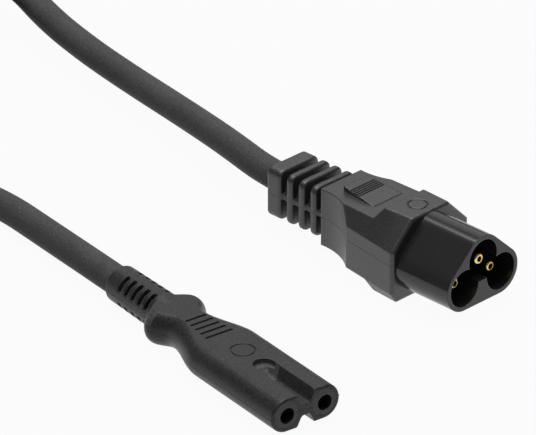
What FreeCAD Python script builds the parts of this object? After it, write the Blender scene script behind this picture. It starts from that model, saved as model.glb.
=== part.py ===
"""Mains adapter lead, in millimetres: figure-eight connector, round cord and cloverleaf plug.

The frame stands on the surface under the figure-eight connector, at the middle of that connector, with +X
the way it is pushed in and +Z up. Each connector is drawn in a frame of its own, whose X starts at the
mating face and runs backwards as negative numbers, and is then placed.
"""
import FreeCAD, Part
import math
import os
import re
import Sketcher

SIZES = [
    # Figure-eight connector: outside of the soft moulding
    ("lobe_pitch", 8.6),
    ("lobe_radius", 3.5),
    ("nose_length", 25.5),
    ("nose_edge", 0.5),
    ("waist_at", 37.2),
    ("waist_half", 4.8),
    ("waist_bulge", 2.4),
    ("ear_at", 42.4),
    ("ear_half", 6.75),
    ("ear_bulge", 1.9),
    ("neck_at", 45.6),
    ("neck_sink", 0.3),
    ("neck_bulge", 2.0),
    # Its strain relief with rows of slots
    ("relief_length", 14.4),
    ("relief_lead", 4.2),
    ("relief_lead_radius", 3.35),
    ("relief_front_radius", 4.0),
    ("relief_rear_radius", 3.8),
    ("relief_rim", 0.3),
    ("relief_slot_rear", 3.9),
    ("relief_slot_front", 0.55),
    ("relief_slot_width", 1.15),
    ("relief_web", 2.1),
    ("relief_slot_sink", 0.2),
    # Its keyways above and below the web between the lobes
    ("key_web", 2.3),
    ("key_floor_half", 0.75),
    ("key_corner", 0.35),
    ("key_mouth_half", 2.15),
    ("key_length", 12.4),
    ("key_runout_length", 3.0),
    ("key_ramp", 1.6),
    ("key_runout_depth", 1.0),
    # Its finger grooves and plain ring on top
    ("grip_first", 27.7),
    ("grip_pitch", 1.88),
    ("grip_half", 3.1),
    ("grip_step", 0.18),
    ("grip_width", 0.65),
    ("grip_depth", 0.4),
    ("ring_at", 20.0),
    ("ring_radius", 2.5),
    ("ring_width", 0.35),
    ("ring_depth", 0.25),
    # Its contact carrier and contacts, for pins of 2.4 diameter
    ("carrier_radius", 2.5),
    ("carrier_bridge", 3.4),
    ("carrier_bridge_cover", 0.6),
    ("mouth_radius", 1.6),
    ("mouth_depth", 3.0),
    ("sleeve_radius", 1.7),
    ("sleeve_length", 12.0),
    ("contact_bore", 1.22),
    ("contact_bore_depth", 11.2),
    ("crimp_radius", 1.25),
    ("crimp_length", 8.0),
    ("crimp_bore_depth", 4.0),
    # Cord and its cores
    ("cord_radius", 3.0),
    ("core_radius", 1.15),
    ("core_spread", 1.2),
    ("strand_radius", 0.5),
    ("strand_bare", 1.5),
    ("connector_jacket_in", 15.0),
    ("connector_core_straight", 7.0),
    ("connector_core_lead", 5.0),
    ("plug_jacket_in", 9.5),
    ("plug_core_straight", 5.7),
    ("plug_core_lead", 5.5),
    # Cloverleaf plug: where it lies
    ("plug_x", 13.9),
    ("plug_y", 53.8),
    ("plug_yaw", 9.0),
    # Its shroud and pins
    ("pin_pitch", 10.0),
    ("pin_drop", 1.45),
    ("pin_radius", 1.15),
    ("pin_root", 1.45),
    ("pin_bore", 0.6),
    ("pin_bore_depth", 6.0),
    ("pin_nose", 0.4),
    ("pin_recess", 2.6),
    ("earth_recess", 0.95),
    ("earth_rise", 4.1),
    ("clover_rise", 4.7),
    ("clover_radius", 3.85),
    ("shroud_wall", 0.95),
    ("shroud_length", 13.8),
    ("cavity_depth", 12.2),
    ("base_length", 6.0),
    ("base_margin", 0.8),
    ("pin_tail", 3.5),
    ("earth_tail", 1.5),
    ("pin_crimp_depth", 3.0),
    # Its collar and body
    ("collar_length", 7.0),
    ("collar_ramp", 1.5),
    ("collar_edge", 0.7),
    ("collar_half", 10.7),
    ("collar_top_half", 5.0),
    ("collar_top", 8.4),
    ("collar_shoulder", 2.8),
    ("collar_sill", 6.2),
    ("collar_bottom_half", 9.1),
    ("collar_bottom", 8.4),
    ("body_rear_at", 38.0),
    ("body_rear_half", 7.3),
    ("body_rear_top_half", 6.3),
    ("body_half_height", 6.2),
    ("scallop_radius", 14.0),
    ("scallop_at", 37.0),
    ("scallop_half", 5.5),
    ("plug_ring_at", 3.6),
    ("plug_ring_radius", 2.1),
    # Its thumb pad
    ("pad_front_at", 25.4),
    ("pad_length", 8.6),
    ("pad_front_half", 4.0),
    ("pad_rear_half", 3.3),
    ("pad_rear_height", 1.2),
    ("pad_front_height", 0.15),
    ("pad_sink", 1.0),
    ("rib_first", 2.0),
    ("rib_pitch", 0.58),
    ("rib_width", 0.3),
    ("rib_depth", 0.3),
    # Its slab strain relief
    ("slab_half_width", 5.5),
    ("slab_half_height", 5.4),
    ("slab_corner", 1.5),
    ("slab_edge", 0.6),
    ("slab_thickness", 1.65),
    ("slab_gap", 1.6),
    ("slab_rear_thickness", 3.7),
    ("spine_radius", 4.0),
    ("spine_web", 1.1),
    ("spine_web_half", 5.0),
    # Put-away coil of two by two turns and its tie
    ("coil_x", -166.0),
    ("coil_y", 15.0),
    ("coil_radius", 33.5),
    ("coil_corner", 2.6),
    ("coil_stub", 23.0),
    ("tie_thickness", 0.7),
    ("tie_width", 7.0),
]
RELIEF_ROWS = 5
GRIP_GROOVES = 5
PAD_RIBS = 5
THIN_SLABS = 3

# Routes of the cord from its connectors to the coil, after the runs that leave them and before the stubs
CONNECTOR_EXIT_RUN = 4.0
CONNECTOR_ROUTE = [(-54.0, 3.4, 3.3), (-74.0, 2.4, 3.1), (-91.0, -4.5, 3.1), (-108.0, -14.5, 3.2)]
PLUG_EXIT_RUN = 4.0
PLUG_ROUTE = [(-60.0, 46.3, 8.0), (-79.0, 46.0, 7.3), (-97.0, 47.6, 7.1), (-113.0, 48.6, 8.2)]
COIL_APPROACH = 15.0

V = FreeCAD.Vector
ACROSS = FreeCAD.Rotation(V(1, 1, 1), 120)
BACKWARDS = FreeCAD.Rotation(V(0, 1, 0), -90)
TINY = 1e-4
ALIASES = {alias for alias, _ in SIZES}

doc = FreeCAD.newDocument("adapter_lead")
sheet = doc.addObject("Spreadsheet::Sheet", "Sizes")
nodes = []


def fill_sheet():
    """Writes the driving sizes into the sheet, each with its alias."""
    for row, (alias, size) in enumerate(SIZES, start=1):
        sheet.set("A%d" % row, alias)
        sheet.set("B%d" % row, str(size))
        sheet.setAlias("B%d" % row, alias)
    doc.recompute()


def expr(text):
    """Turns aliases in an expression into references to the sheet."""
    return re.sub("[a-z_]+", lambda word: "Sizes." + word[0] if word[0] in ALIASES else word[0], text)


def value(text):
    """Works out an expression of aliases as a number."""
    return float(sheet.evalExpression(expr(text)))


def bind(obj, **properties):
    """Binds properties of an object to expressions of aliases."""
    for name, text in properties.items():
        obj.setExpression(name, expr(text))
    return obj


def move(obj, x, y, z):
    """Binds an object's position to expressions of aliases."""
    for axis, text in zip("xyz", (x, y, z)):
        obj.setExpression("Placement.Base." + axis, expr(text))
    return obj


def rod(name, radius, start, length, y="0", z="0"):
    """A round rod along X that runs backwards from a distance behind the mating face."""
    obj = doc.addObject("Part::Cylinder", name)
    obj.Placement = FreeCAD.Placement(V(), BACKWARDS)
    bind(obj, Radius=radius, Height=length)
    return move(obj, "0 - ( %s )" % start, y, z)


def taper(name, front_radius, rear_radius, start, length):
    """A round cone along X that runs backwards from a distance behind the mating face."""
    obj = doc.addObject("Part::Cone", name)
    obj.Placement = FreeCAD.Placement(V(), BACKWARDS)
    bind(obj, Radius1=front_radius, Radius2=rear_radius, Height=length)
    return move(obj, "0 - ( %s )" % start, "0", "0")


def post(name, radius, at, y, bottom, height):
    """An upright cylinder at a distance behind the mating face."""
    obj = doc.addObject("Part::Cylinder", name)
    bind(obj, Radius=radius, Height=height)
    return move(obj, "0 - ( %s )" % at, y, bottom)


def block(name, start, length, half_width, bottom, height):
    """A box, centred across, that runs backwards from a distance behind the mating face."""
    obj = doc.addObject("Part::Box", name)
    bind(obj, Length=length, Width="2 * ( %s )" % half_width, Height=height)
    return move(obj, "0 - ( %s ) - ( %s )" % (start, length), "0 - ( %s )" % half_width, bottom)


def wedge(name, rear_at, length, rear, front):
    """A block, centred across, given by half width, bottom and top at its rear and at its front."""
    obj = doc.addObject("Part::Wedge", name)
    obj.Placement = FreeCAD.Placement(V(), FreeCAD.Rotation(V(0, 0, 1), -90))
    bind(obj, Ymin="0", Ymax=length,
         Xmin="0 - " + rear[0], Xmax=rear[0], Zmin=rear[1], Zmax=rear[2],
         X2min="0 - " + front[0], X2max=front[0], Z2min=front[1], Z2max=front[2])
    return move(obj, "0 - ( %s )" % rear_at, "0", "0")


def fuse(name, shapes):
    """The union of several objects."""
    obj = doc.addObject("Part::MultiFuse", name)
    obj.Shapes = shapes
    return obj


def cut(name, base, tool):
    """One object less another."""
    obj = doc.addObject("Part::Cut", name)
    obj.Base = base
    obj.Tool = tool
    return obj


def fillet(name, base, radius, pick):
    """Rounds the edges of an object that a test picks out."""
    doc.recompute()
    obj = doc.addObject("Part::Fillet", name)
    obj.Base = base
    size = value(radius)
    obj.Edges = [(i, size, size) for i, edge in enumerate(base.Shape.Edges, start=1) if pick(edge)]
    return obj


def section(name, at):
    """An empty sketch across X, at a distance behind the mating face."""
    sketch = doc.addObject("Sketcher::SketchObject", name)
    sketch.Placement = FreeCAD.Placement(V(), ACROSS)
    return move(sketch, "0 - ( %s )" % at, "0", "0")


def hold(sketch, kind, *where_and_size):
    """Adds a dimension to a sketch and binds it to an expression of aliases."""
    where, text = where_and_size[:-1], where_and_size[-1]
    index = sketch.addConstraint(Sketcher.Constraint(kind, *where, value(text)))
    sketch.setExpression("Constraints[%d]" % index, expr(text))


def polygon(name, at, corners):
    """A closed outline across X whose corners are expressions of aliases."""
    sketch = section(name, at)
    points = [V(value(y), value(z), 0) for y, z in corners]
    count = len(points)
    for i in range(count):
        sketch.addGeometry(Part.LineSegment(points[i], points[(i + 1) % count]))
    for i in range(count):
        sketch.addConstraint(Sketcher.Constraint("Coincident", i, 2, (i + 1) % count, 1))
    for i, (y, z) in enumerate(corners):
        hold(sketch, "DistanceX", -1, 1, i, 1, y)
        hold(sketch, "DistanceY", -1, 1, i, 1, z)
    return sketch


def mirrored(half):
    """The outline whose right half is given from the bottom up, closed with its mirror image."""
    return half + [("0 - ( %s )" % y, z) for y, z in reversed(half)]


def flat_oval(name, at, half_width, half_height, bulge):
    """An outline across X with flat top and bottom and sides that bulge out as arcs."""
    sketch = section(name, at)
    reach = "( ( %s ) - ( %s ) )" % (half_width, bulge)
    radius = "( ( %s ) ^ 2 + ( %s ) ^ 2 ) / 2 / ( %s )" % (half_height, bulge, bulge)
    middle = "( ( %s ) - %s )" % (half_width, radius)
    y, z, size, centre = value(reach), value(half_height), value(radius), value(middle)
    swing = math.atan2(z, y - centre)
    right = Part.Circle(V(centre, 0, 0), V(0, 0, 1), size)
    left = Part.Circle(V(-centre, 0, 0), V(0, 0, 1), size)
    sketch.addGeometry(Part.LineSegment(V(-y, -z, 0), V(y, -z, 0)))
    sketch.addGeometry(Part.ArcOfCircle(right, -swing, swing))
    sketch.addGeometry(Part.LineSegment(V(y, z, 0), V(-y, z, 0)))
    sketch.addGeometry(Part.ArcOfCircle(left, math.pi - swing, math.pi + swing))
    for i in range(4):
        sketch.addConstraint(Sketcher.Constraint("Coincident", i, 2, (i + 1) % 4, 1))
    for line, along, up in ((0, "1", "-1"), (2, "-1", "1")):
        for end, turned in ((1, "-1"), (2, "1")):
            hold(sketch, "DistanceX", -1, 1, line, end, "%s * %s * %s" % (along, turned, reach))
            hold(sketch, "DistanceY", -1, 1, line, end, "%s * ( %s )" % (up, half_height))
    hold(sketch, "DistanceX", -1, 1, 1, 3, middle)
    hold(sketch, "DistanceX", -1, 1, 3, 3, "0 - " + middle)
    return sketch


def extrude(name, sketch, length):
    """A prism from a sketch, along +X."""
    obj = doc.addObject("Part::Extrusion", name)
    obj.Base = sketch
    obj.DirMode = "Normal"
    obj.Solid = True
    return bind(obj, LengthFwd=length)


def loft(name, sketches, ruled):
    """A solid through several outlines."""
    obj = doc.addObject("Part::Loft", name)
    obj.Sections = sketches
    obj.Solid = True
    obj.Ruled = ruled
    return obj


def bent_path(points):
    """Straight runs joined by tangent arcs, each as large as its two runs allow, and the arcs' radii."""
    edges, radii, start = [], [], points[0]
    for before, corner, after in zip(points, points[1:], points[2:]):
        one, two = before - corner, after - corner
        turn = math.pi - one.getAngle(two)
        reach = 0.45 * min(one.Length, two.Length)
        radius = reach / math.tan(turn / 2)
        one.normalize()
        two.normalize()
        first, last = corner + one * reach, corner + two * reach
        inward = (one + two).normalize()
        middle = corner + inward * (radius / math.cos(turn / 2) - radius)
        edges.append(Part.LineSegment(start, first).toShape())
        edges.append(Part.Arc(first, middle, last).toShape())
        radii.append(radius)
        start = last
    edges.append(Part.LineSegment(start, points[-1]).toShape())
    return Part.Wire(edges), radii


def tube(name, points, radius):
    """A round rod along a bent path, with its volume compared with section times length."""
    wire, radii = bent_path(points)
    path = doc.addObject("Part::Feature", name + "_path")
    path.Shape = wire
    ring = doc.addObject("Part::Circle", name + "_ring")
    ring.Placement = FreeCAD.Placement(points[0], FreeCAD.Rotation(V(0, 0, 1), points[1] - points[0]))
    bind(ring, Radius=radius)
    obj = doc.addObject("Part::Sweep", name)
    obj.Sections = [ring]
    obj.Spine = (path, ["Edge%d" % (i + 1) for i in range(len(wire.Edges))])
    obj.Solid = True
    doc.recompute()
    expected = math.pi * value(radius) ** 2 * wire.Length
    if abs(obj.Shape.Volume / expected - 1) > 0.01:
        raise ValueError("%s is not section times length" % name)
    print("%s: length %.1f, bend radii %s" % (name, wire.Length, ["%.0f" % r for r in radii]))
    return obj


def node(obj, label, frame=None):
    """Names a finished sub-part, places it in its connector's frame and keeps it for writing."""
    obj.Label = label
    if frame is not None:
        place(obj, frame)
    nodes.append(obj)
    return obj


def place(obj, frame):
    """Places an object with a connector, lying on the surface at the connector's own spot."""
    x, y, z, yaw = frame
    obj.Placement = FreeCAD.Placement(V(), FreeCAD.Rotation(V(0, 0, 1), value(yaw)))
    move(obj, x, y, z)
    obj.setExpression("Placement.Rotation.Angle", expr(yaw))
    return obj


def in_frame(frame, x, y=0.0, z=0.0):
    """A point of a connector's frame in the frame of the whole lead."""
    turn = FreeCAD.Rotation(V(0, 0, 1), value(frame[3]))
    return V(value(frame[0]), value(frame[1]), value(frame[2])) + turn.multVec(V(x, y, z))


CONNECTOR_LENGTH = "( neck_at + relief_length )"
CONNECTOR = (CONNECTOR_LENGTH + " / 2", "0", "relief_front_radius", "0")
PLUG = ("plug_x", "plug_y", "collar_bottom", "plug_yaw")
FULL_HALF = "( lobe_pitch / 2 + lobe_radius )"
SIDES = (("line", "-1"), ("neutral", "1"))


def connector_outside():
    """Nose, finger ears and strain relief of the figure-eight connector, before anything is cut."""
    outline = flat_oval("nose_outline", "nose_length", FULL_HALF, "lobe_radius", "lobe_radius")
    prism = extrude("nose_prism", outline, "nose_length")
    nose = fillet("nose", prism, "nose_edge", lambda edge: edge.BoundBox.XMin > -TINY)
    stations = [("nose_length", FULL_HALF, "lobe_radius", "lobe_radius")]
    for share in (0.25, 0.5, 0.75):
        ease = share * share * (3 - 2 * share)
        stations.append((
            "nose_length + ( waist_at - nose_length ) * %g" % share,
            "%s + ( waist_half - %s ) * %g" % (FULL_HALF, FULL_HALF, ease),
            "lobe_radius",
            "lobe_radius + ( waist_bulge - lobe_radius ) * %g" % ease,
        ))
    stations += [
        ("waist_at", "waist_half", "lobe_radius", "waist_bulge"),
        ("( waist_at + ear_at ) / 2", "( waist_half + ear_half ) / 2", "lobe_radius",
         "( waist_bulge + ear_bulge ) / 2"),
        ("ear_at", "ear_half", "lobe_radius", "ear_bulge"),
        ("ear_at * 0.58 + neck_at * 0.42", "ear_half * 0.74 + ( relief_front_radius - neck_sink ) * 0.26",
         "lobe_radius", "ear_bulge"),
        ("neck_at", "relief_front_radius - neck_sink", "lobe_radius", "neck_bulge"),
    ]
    outlines = [flat_oval("grip_outline_%d" % i, *station) for i, station in enumerate(stations)]
    grip = loft("grip", outlines, False)
    sleeve = taper("relief_cone", "relief_front_radius", "relief_rear_radius", "neck_at", "relief_length")
    lead = taper("relief_lead_cone", "relief_lead_radius", "relief_front_radius", "neck_at - relief_lead",
                 "relief_lead")
    rear = -value(CONNECTOR_LENGTH)
    relief = fillet("relief", sleeve, "relief_rim", lambda edge: edge.BoundBox.XMax < rear + TINY)
    return fuse("connector_outside", [nose, grip, lead, relief])


def relief_slots():
    """Rows of slots through to the cord, spread along the strain relief and parted by four webs."""
    spare = "( relief_length - relief_slot_rear - relief_slot_front - relief_slot_width )"
    first = CONNECTOR_LENGTH + " - relief_slot_rear - relief_slot_width"
    discs = []
    for i in range(RELIEF_ROWS):
        start = "%s - %s * %g" % (first, spare, i / (RELIEF_ROWS - 1))
        discs.append(rod("slot_disc_%d" % i, "2 * relief_front_radius", start, "relief_slot_width"))
    kept = fuse("slot_webs", [
        rod("slot_core", "cord_radius - relief_slot_sink", "neck_at", "relief_length"),
        block("slot_web_upright", "neck_at", "relief_length", "relief_web / 2",
              "0 - 2 * relief_front_radius", "4 * relief_front_radius"),
        block("slot_web_level", "neck_at", "relief_length", "2 * relief_front_radius",
              "0 - relief_web / 2", "relief_web"),
    ])
    return cut("relief_slots", fuse("slot_discs", discs), kept)


def keyway(side, sign):
    """One keyway between the lobes, which ramps up at the back into a shallow round run-out."""
    above = "( lobe_radius + key_mouth_half - key_floor_half )"
    half = [
        ("key_floor_half", "%s * key_web / 2" % sign),
        ("key_floor_half + key_corner", "%s * ( key_web / 2 + key_corner )" % sign),
        ("key_mouth_half", "%s * lobe_radius" % sign),
        ("key_mouth_half", "%s * %s" % (sign, above)),
    ]
    rise = "%s * ( lobe_radius - key_runout_depth - key_web / 2 )" % sign
    raised = [(y, "%s + %s" % (z, rise)) for y, z in half]
    groove = extrude("key_groove_" + side, polygon("key_outline_" + side, "key_length", mirrored(half)),
                     "2 * key_length")
    ramp = loft("key_ramp_" + side, [
        polygon("key_ramp_low_" + side, "key_length", mirrored(half)),
        polygon("key_ramp_high_" + side, "key_length + key_ramp", mirrored(raised)),
    ], True)
    depth = "key_runout_depth + lobe_radius"
    bottom = "lobe_radius - key_runout_depth" if side == "top" else "0 - 2 * lobe_radius"
    end_at = "key_length + key_runout_length - key_mouth_half"
    shallow = block("key_shallow_" + side, "key_length", "key_runout_length - key_mouth_half",
                    "key_mouth_half", bottom, depth)
    end = post("key_end_" + side, "key_mouth_half", end_at, "0", bottom, depth)
    return [groove, ramp, shallow, end]


def ring(name, at, radius, top):
    """What is cut away for one plain ring, sunk into a level top."""
    floor = "%s - ring_depth" % top
    disc = post(name + "_disc", radius, at, "0", floor, top)
    eye = post(name + "_eye", "%s - ring_width" % radius, at, "0", floor, top)
    return cut(name, disc, eye)


def grip_marks():
    """Finger grooves across the top, shorter towards the cord, and one plain ring."""
    bars = [
        block("grip_bar_%d" % i, "grip_first + grip_pitch * %d - grip_width / 2" % i, "grip_width",
              "grip_half - grip_step * %d" % i, "lobe_radius - grip_depth", "lobe_radius")
        for i in range(GRIP_GROOVES)
    ]
    return bars + [ring("grip_ring", "ring_at", "ring_radius", "lobe_radius")]


def strand_and_core(prefix, pole, frame, points, crimp_end):
    """The bared copper in a crimp and the insulated core that leads to it."""
    tip = points[-1]
    copper = doc.addObject("Part::Cylinder", "%s_%s_copper" % (prefix, pole))
    copper.Placement = FreeCAD.Placement(tip, FreeCAD.Rotation(V(0, 0, 1), V(1, 0, 0)))
    bind(copper, Radius="strand_radius", Height="strand_bare + %s" % crimp_end)
    strands = gather("%s_%s_wire" % (prefix, pole), [copper])
    core = tube("%s_%s_core" % (prefix, pole), points, "core_radius")
    return [
        node(strands, "%s_%s_strands" % (prefix, pole), frame),
        node(core, "%s_%s_core" % (prefix, pole), frame),
    ]


def gather(name, shapes):
    """Objects that stay apart, as one that can be placed or cut away."""
    group = doc.addObject("Part::Compound", name)
    group.Links = shapes
    return group


def build_connector(cord):
    """The figure-eight connector: carrier, contacts, cores and the moulding around them and the cord."""
    tubes, envelopes, mouths, inside = [], [], [], []
    bridge_at = "key_length + carrier_bridge_cover"
    carrier_rear = bridge_at + " + carrier_bridge"
    crimp_rear = "mouth_depth + sleeve_length + crimp_length"
    for pole, sign in SIDES:
        y = "%s * lobe_pitch / 2" % sign
        tubes.append(rod("carrier_tube_" + pole, "carrier_radius", "0", carrier_rear, y))
        mouths.append(rod("mouth_" + pole, "mouth_radius", "0", "mouth_depth", y))
        sleeve = rod("sleeve_" + pole, "sleeve_radius", "mouth_depth", "sleeve_length", y)
        tail = rod("tail_" + pole, "crimp_radius", "mouth_depth + sleeve_length", "crimp_length", y)
        envelope = fuse("contact_envelope_" + pole, [sleeve, tail])
        envelopes.append(envelope)
        crimp_at = crimp_rear + " - crimp_bore_depth"
        bores = fuse("contact_bores_" + pole, [
            rod("pin_way_" + pole, "contact_bore", "mouth_depth", "contact_bore_depth", y),
            rod("crimp_way_" + pole, "strand_radius", crimp_at, "crimp_bore_depth", y),
        ])
        contact = cut("contact_" + pole, envelope, bores)
        node(contact, "connector_%s_contact" % pole, CONNECTOR)
        jacket_end = -value(CONNECTOR_LENGTH + " - connector_jacket_in")
        core_end = -value(crimp_rear + " + strand_bare")
        near = value("%s * core_spread" % sign)
        far = value(y)
        points = [
            V(jacket_end, near, 0),
            V(jacket_end + value("connector_core_straight"), near, 0),
            V(core_end - value("connector_core_lead"), far, 0),
            V(core_end, far, 0),
        ]
        inside += strand_and_core("connector", pole, CONNECTOR, points, "crimp_bore_depth")
    bridge = block("carrier_bridge", bridge_at, "carrier_bridge",
                   "lobe_pitch / 2", "0 - key_web / 2", "key_web")
    solid = fuse("carrier_solid", tubes + [bridge])
    carrier = cut("carrier", solid, fuse("carrier_ways", envelopes + mouths))
    node(carrier, "connector_carrier", CONNECTOR)
    voids = place(fuse("connector_voids", [solid] + envelopes), CONNECTOR)
    marks = [relief_slots()] + keyway("top", "1") + keyway("bottom", "-1") + grip_marks()
    shape = place(cut("connector_shape", connector_outside(), fuse("connector_marks", marks)), CONNECTOR)
    moulding = cut("connector_moulding", shape, fuse("connector_room", [voids, cord] + inside))
    node(moulding, "connector_overmould")


def clover(name, radius, start, length):
    """Three rods along X, at the corners of the pin triangle."""
    rods = [
        rod("%s_%s" % (name, pole), radius, start, length, "%s * pin_pitch / 2" % sign, "0 - pin_drop")
        for pole, sign in SIDES
    ]
    rods.append(rod(name + "_earth", radius, start, length, "0", "clover_rise - pin_drop"))
    return rods


def hull(name, radius, start, length):
    """Three rods over the corners of the pin triangle, with flats that touch each pair."""
    side = "sqrt( pin_pitch * pin_pitch / 4 + clover_rise * clover_rise )"
    out = "%s * clover_rise / %s" % (radius, side)
    up = "%s * pin_pitch / 2 / %s" % (radius, side)
    half = [
        ("pin_pitch / 2", "0 - pin_drop - " + radius),
        ("pin_pitch / 2 + " + out, "0 - pin_drop + " + up),
        (out, "clover_rise - pin_drop + " + up),
    ]
    outline = polygon(name + "_outline", "%s + %s" % (start, length), mirrored(half))
    return clover(name, radius, start, length) + [extrude(name + "_flats", outline, length)]


def shroud_cavity():
    """The cloverleaf cavity: three rods and the triangle between their centres."""
    corners = [
        ("pin_pitch / 2", "0 - pin_drop"),
        ("0", "clover_rise - pin_drop"),
        ("0 - pin_pitch / 2", "0 - pin_drop"),
    ]
    middle = extrude("cavity_middle", polygon("cavity_outline", "cavity_depth", corners), "cavity_depth")
    return fuse("cavity", clover("cavity_lobe", "clover_radius", "0", "cavity_depth") + [middle])


def pin(pole, recess, y, z, tail, crimped):
    """A hollow round-nosed pin with a thicker root that passes through the shroud's base."""
    rear = "( shroud_length + base_length + %s )" % tail
    tip = -value(recess)
    shank = rod("shank_" + pole, "pin_radius", recess, "%s - %s" % (rear, recess), y, z)
    nosed = fillet("nosed_" + pole, shank, "pin_nose", lambda edge: edge.BoundBox.XMin > tip - TINY)
    root = rod("root_" + pole, "pin_root", "cavity_depth", rear + " - cavity_depth", y, z)
    ways = [rod("hollow_" + pole, "pin_bore", recess, "pin_bore_depth", y, z)]
    if crimped:
        crimp_at = rear + " - pin_crimp_depth"
        ways.append(rod("pin_crimp_way_" + pole, "strand_radius", crimp_at, "pin_crimp_depth", y, z))
    whole = fuse("whole_" + pole, [nosed, root])
    node(cut("pin_" + pole, whole, gather("pin_ways_" + pole, ways)), "plug_%s_pin" % pole, PLUG)
    return root


def step(side, rear_span, front_span):
    """What is cut away behind the collar on one side, with a ramp that leads up to the collar."""
    ramp_at = "( shroud_length + collar_length + collar_ramp )"
    wide = "2 * collar_half"
    ramp = wedge("step_ramp_" + side, ramp_at, "collar_ramp", (wide, *rear_span), (wide, *front_span))
    back = wedge("step_back_" + side, "body_rear_at", "body_rear_at - " + ramp_at,
                 (wide, *rear_span), (wide, *rear_span))
    return [back, ramp]


def plug_body():
    """Collar and body of the plug, with the finger scallops and the steps behind the collar."""
    rear = [
        ("body_rear_half", "0 - collar_bottom"),
        ("body_rear_half", "0 - collar_sill"),
        ("body_rear_half", "collar_shoulder"),
        ("body_rear_top_half", "collar_top"),
    ]
    front = [
        ("collar_bottom_half", "0 - collar_bottom"),
        ("collar_half", "0 - collar_sill"),
        ("collar_half", "collar_shoulder"),
        ("collar_top_half", "collar_top"),
    ]
    outlines = [
        polygon("body_rear_outline", "body_rear_at", mirrored(rear)),
        polygon("body_front_outline", "shroud_length", mirrored(front)),
    ]
    rough = loft("body_taper", outlines, True)
    face_at, top_at = -value("shroud_length"), value("collar_top")

    def rounds(edge):
        box = edge.BoundBox
        along = box.XLength > TINY
        return box.ZMin > top_at - TINY if along else box.XMax > face_at - TINY

    body = fillet("body_rounded", rough, "collar_edge", rounds)
    trims = step("top", ("body_half_height", "2 * collar_top"), ("collar_top", "2 * collar_top"))
    trims += step("bottom", ("0 - 2 * collar_bottom", "0 - body_half_height"),
                  ("0 - 2 * collar_bottom", "0 - collar_bottom"))
    trims.append(ring("plug_ring", "shroud_length + plug_ring_at", "plug_ring_radius", "collar_top"))
    for pole, sign in SIDES:
        trims.append(post("scallop_" + pole, "scallop_radius", "scallop_at",
                          "%s * ( scallop_half + scallop_radius )" % sign, "0 - 2 * collar_bottom",
                          "2 * collar_bottom + 2 * collar_top"))
    return cut("plug_body", body, fuse("body_trims", trims))


def thumb_pad():
    """The ribbed thumb pad on top, a wedge that runs out towards the collar."""
    bottom = "body_half_height - pad_sink"
    plain = wedge("pad_wedge", "pad_front_at + pad_length", "pad_length",
                  ("pad_rear_half", bottom, "body_half_height + pad_rear_height"),
                  ("pad_front_half", bottom, "body_half_height + pad_front_height"))
    drop = "( pad_rear_height - pad_front_height ) / pad_length"
    ribs = []
    for i in range(PAD_RIBS):
        along = "( rib_first + rib_pitch * %d )" % i
        start = "pad_front_at + pad_length - %s - rib_width / 2" % along
        floor = "body_half_height + pad_rear_height - %s * %s - rib_depth" % (drop, along)
        ribs.append(block("rib_%d" % i, start, "rib_width", "2 * pad_front_half", floor, "pad_rear_height"))
    return cut("thumb_pad", plain, fuse("pad_ribs", ribs))


def slab(name, start, thickness):
    """One rounded slab of the plug's strain relief."""
    plain = block(name + "_block", start, thickness, "slab_half_width", "0 - slab_half_height",
                  "2 * slab_half_height")
    rounded = fillet(name + "_corners", plain, "slab_corner",
                     lambda edge: edge.BoundBox.XLength > TINY)
    return fillet(name, rounded, "slab_edge", lambda edge: edge.BoundBox.XLength < TINY)


def plug_relief():
    """The strain relief of the plug: slabs on a spine, with a web at mid-height."""
    start = "body_rear_at"
    slabs = []
    for i in range(THIN_SLABS):
        start = "%s + slab_gap" % start
        slabs.append(slab("slab_%d" % i, start, "slab_thickness"))
        start = "%s + slab_thickness" % start
    start = "%s + slab_gap" % start
    slabs.append(slab("slab_rear", start, "slab_rear_thickness"))
    reach = "%s - body_rear_at + slab_rear_thickness / 2" % start
    spine = rod("spine", "spine_radius", "body_rear_at", reach)
    web = block("spine_web", "body_rear_at", reach, "spine_web_half", "0 - spine_web / 2", "spine_web")
    return slabs + [spine, web]


def plug_rear():
    """Distance from the shroud's rim to the back of the plug's strain relief, as an expression."""
    thin = "%d * ( slab_gap + slab_thickness )" % THIN_SLABS
    return "( body_rear_at + %s + slab_gap + slab_rear_thickness )" % thin


def build_plug(cord):
    """The cloverleaf plug: shroud, pins, cores and the moulding around them and the cord."""
    roots, inside = [], []
    pin_rear = "shroud_length + base_length + pin_tail"
    for pole, sign in SIDES:
        y = "%s * pin_pitch / 2" % sign
        roots.append(pin(pole, "pin_recess", y, "0 - pin_drop", "pin_tail", True))
        jacket_end = -value("%s - plug_jacket_in" % plug_rear())
        core_end = -value(pin_rear + " + strand_bare")
        near = value("%s * core_spread" % sign)
        points = [
            V(jacket_end, near, 0),
            V(jacket_end + value("plug_core_straight"), near, 0),
            V(core_end - value("plug_core_lead"), value(y), -value("pin_drop")),
            V(core_end, value(y), -value("pin_drop")),
        ]
        inside += strand_and_core("plug", pole, PLUG, points, "pin_crimp_depth")
    roots.append(pin("earth", "earth_recess", "0", "earth_rise - pin_drop", "earth_tail", False))
    base = fuse("shroud_base", hull("base", "( pin_root + base_margin )", "shroud_length", "base_length"))
    outside = hull("rim", "( clover_radius + shroud_wall )", "0", "shroud_length")
    solid = fuse("shroud_solid", outside + [base])
    shroud = cut("shroud", solid, fuse("shroud_ways", roots + [shroud_cavity()]))
    node(shroud, "plug_shroud", PLUG)
    voids = place(fuse("plug_voids", [base] + roots), PLUG)
    shape = place(fuse("plug_shape", [plug_body(), thumb_pad()] + plug_relief()), PLUG)
    node(cut("plug_moulding", shape, fuse("plug_room", [voids, cord] + inside)), "plug_overmould")


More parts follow.
